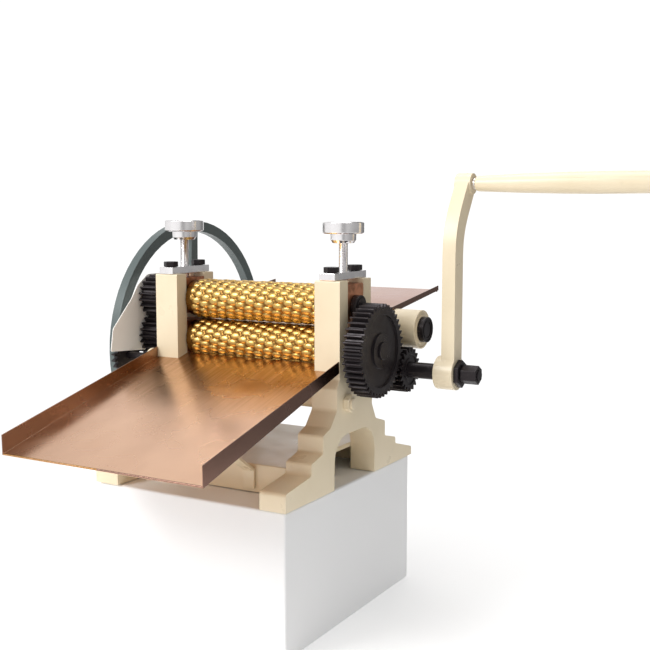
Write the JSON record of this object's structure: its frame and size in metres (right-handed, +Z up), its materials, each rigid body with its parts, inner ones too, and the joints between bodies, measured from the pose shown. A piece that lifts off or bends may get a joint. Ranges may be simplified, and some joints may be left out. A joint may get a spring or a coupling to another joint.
{
  "type": "hand-cranked drop roller",
  "caption": "Hand-cranked roller mill with embossed brass rolls, geared drive, flywheel, screw-adjusted upper roll and sloping copper trays.",
  "frame": {"origin": "centre of the base's underside, under the rolls", "axes": "+X along the rolls towards the crank, +Y from the outfeed tray to the infeed tray, +Z up"},
  "size_m": [0.822, 0.6865, 0.4693],
  "materials": {
    "cream_paint": "gloss enamel over cast iron",
    "guard_paint": "satin enamel on sheet",
    "teal_paint": "satin grey-green enamel",
    "roll_brass": "polished, embossed",
    "bearing_bronze": "machined bronze",
    "tray_copper": "brushed copper sheet",
    "gear_black": "black oxide, oiled",
    "bright_steel": "turned and polished"
  },
  "bodies": {
    "frame": {"bed_plate": "cream_paint", "flywheel_axle": "bright_steel", "flywheel_nut": "gear_black", "front_tray": "tray_copper", "gear_guard": "guard_paint", "idler_bracket": "cream_paint", "idler_stud": "gear_black", "left_cap_bar": "bright_steel", "left_crank_bush": "bearing_bronze", "left_front_cap_bolt": "gear_black", "left_hub_nut": "gear_black", "left_lower_bearing": "bearing_bronze", "left_rear_cap_bolt": "gear_black", "left_rear_hub": "cream_paint", "left_side_frame": "cream_paint", "left_tie_nut": "cream_paint", "left_tray_strut": "cream_paint", "lower_guard_stud": "bright_steel", "rear_cross_shaft": "gear_black", "rear_tray": "tray_copper", "rear_tray_saddle": "cream_paint", "right_cap_bar": "bright_steel", "right_crank_bush": "bearing_bronze", "right_front_cap_bolt": "gear_black", "right_hub_nut": "gear_black", "right_lower_bearing": "bearing_bronze", "right_rear_cap_bolt": "gear_black", "right_rear_hub": "cream_paint", "right_side_frame": "cream_paint", "right_tie_nut": "cream_paint", "right_tray_strut": "cream_paint", "tie_bar": "cream_paint", "upper_guard_stud": "bright_steel"},
    "lower_roll": {"lower_roller": "roll_brass", "lower_shaft": "gear_black", "drive_gear": "gear_black", "lower_left_gear": "gear_black", "lower_outer_gear": "gear_black"},
    "upper_roll": {"upper_roller": "roll_brass", "upper_shaft": "gear_black", "upper_left_gear": "gear_black", "upper_shaft_collar": "gear_black"},
    "upper_carriage": {"left_upper_bearing": "bearing_bronze", "right_upper_bearing": "bearing_bronze"},
    "left_screw": {"left_adjusting_screw": "bright_steel", "left_knob": "bright_steel"},
    "right_screw": {"right_adjusting_screw": "bright_steel", "right_knob": "bright_steel"},
    "crank": {"crankshaft": "gear_black", "pinion": "gear_black", "crank_arm": "cream_paint", "crank_nut": "gear_black", "crank_lock_nut": "gear_black", "crank_left_gear": "gear_black", "handle_spindle": "bright_steel", "handle_end_cap": "cream_paint"},
    "flywheel": {"flywheel": "teal_paint", "flywheel_pinion": "gear_black"},
    "handle": {"handle_sleeve": "cream_paint"},
    "idler": {"idler_gear": "gear_black"}
  },
  "joints": [
    {"name": "crank_spin", "type": "hinge", "parent": "frame", "child": "crank", "pos_m": [0, 0.0851, 0.1525], "axis": [1, 0, 0], "continuous": true},
    {"name": "handle_spin", "type": "hinge", "parent": "crank", "child": "handle", "pos_m": [0.4, 0.129, 0.4215], "axis": [1, 0, 0], "continuous": true},
    {"name": "lower_roll_spin", "type": "hinge", "parent": "frame", "child": "lower_roll", "pos_m": [0, 0, 0.19], "axis": [1, 0, 0], "continuous": true},
    {"name": "upper_carriage_lift", "type": "slide", "parent": "frame", "child": "upper_carriage", "axis": [0, 0, 1], "range_m": [0, 0.004]},
    {"name": "upper_roll_spin", "type": "hinge", "parent": "upper_carriage", "child": "upper_roll", "pos_m": [0, 0, 0.2504], "axis": [1, 0, 0], "continuous": true},
    {"name": "flywheel_spin", "type": "hinge", "parent": "frame", "child": "flywheel", "pos_m": [-0.2245, 0.128, 0.166], "axis": [1, 0, 0], "continuous": true},
    {"name": "left_screw_spin", "type": "hinge", "parent": "upper_carriage", "child": "left_screw", "pos_m": [-0.139, 0, 0.34], "axis": [0, 0, 1], "range_deg": [0, 720]},
    {"name": "right_screw_spin", "type": "hinge", "parent": "upper_carriage", "child": "right_screw", "pos_m": [0.139, 0, 0.34], "axis": [0, 0, 1], "range_deg": [0, 720]},
    {"name": "idler_spin", "type": "hinge", "parent": "frame", "child": "idler", "pos_m": [-0.21225, -0.053, 0.1619], "axis": [1, 0, 0], "continuous": true}
  ],
  "couplings": [
    {"joint": "lower_roll_spin", "follows": "crank_spin", "ratio": -0.47619},
    {"joint": "upper_roll_spin", "follows": "crank_spin", "ratio": 0.47619},
    {"joint": "idler_spin", "follows": "crank_spin", "ratio": 0.47619},
    {"joint": "flywheel_spin", "follows": "crank_spin", "ratio": -1.6471},
    {"joint": "left_screw_spin", "follows": "upper_carriage_lift", "rad_per_m": 3141.6},
    {"joint": "right_screw_spin", "follows": "upper_carriage_lift", "rad_per_m": 3141.6}
  ]
}
